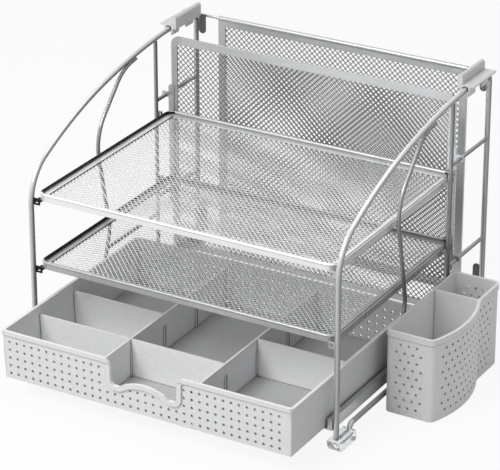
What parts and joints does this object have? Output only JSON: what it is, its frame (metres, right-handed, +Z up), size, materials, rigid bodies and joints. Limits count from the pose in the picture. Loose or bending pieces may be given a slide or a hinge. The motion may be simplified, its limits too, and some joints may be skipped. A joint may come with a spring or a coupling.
{
  "type": "desk organizer",
  "caption": "Silver wire and mesh desk organizer with letter trays, an upright file section with folder rails, a light grey drawer and a hung pen holder",
  "frame": {"origin": "on the desk, straight below the front left post", "axes": "+X to the right across the front, +Y to the back, +Z up"},
  "size_m": [0.3982, 0.3742, 0.2784],
  "materials": {
    "silver_wire": "smooth silver powder coat",
    "silver_sheet": "smooth silver powder coat",
    "silver_mesh": "silver coated expanded mesh",
    "clear_vinyl": "clear soft vinyl",
    "dark_steel": "dark coated tabs",
    "grey_plastic": "moulded mid grey",
    "light_grey_plastic": "moulded light grey, fine satin"
  },
  "bodies": {
    "frame": {"main_rod_left": "silver_wire", "main_rod_right": "silver_wire", "curved_stay_left": "silver_wire", "curved_stay_right": "silver_wire", "back_stay_left": "silver_wire", "back_stay_right": "silver_wire", "upper_crossbar_left": "silver_wire", "upper_crossbar_right": "silver_wire", "lower_crossbar_left": "silver_wire", "lower_crossbar_right": "silver_wire", "hanger_bar_left": "silver_wire", "hanger_bar_right": "silver_wire", "drawer_runner_left": "silver_sheet", "drawer_runner_right": "silver_sheet", "foot_front_left": "clear_vinyl", "foot_front_right": "clear_vinyl", "foot_rear_left": "clear_vinyl", "foot_rear_right": "clear_vinyl", "upper_tray_rim": "silver_sheet", "upper_tray_mesh": "silver_mesh", "upper_tray_tabs": "dark_steel", "lower_tray_rim": "silver_sheet", "lower_tray_mesh": "silver_mesh", "lower_tray_tabs": "dark_steel", "divider_frame": "silver_sheet", "divider_mesh": "silver_mesh", "divider_strip_left": "silver_sheet", "divider_strip_right": "silver_sheet", "back_panel_frame": "silver_sheet", "back_panel_mesh": "silver_mesh", "back_panel_wires": "silver_wire", "back_panel_brackets": "silver_sheet", "folder_rail_left": "grey_plastic", "folder_rail_right": "grey_plastic"},
    "drawer": {"drawer_tub": "light_grey_plastic", "left_bay_front_divider": "light_grey_plastic", "left_bay_rear_divider": "light_grey_plastic", "middle_bay_divider": "light_grey_plastic", "right_bay_divider": "light_grey_plastic"},
    "pen_holder": {"pen_holder": "light_grey_plastic"}
  },
  "joints": [
    {"name": "drawer_slide", "type": "slide", "parent": "frame", "child": "drawer", "axis": [0, -1, 0], "range_m": [-0.0647, 0.0853]},
    {"name": "pen_holder_lift", "type": "slide", "parent": "frame", "child": "pen_holder", "axis": [0, 0, 1], "range_m": [0, 0.06]}
  ]
}
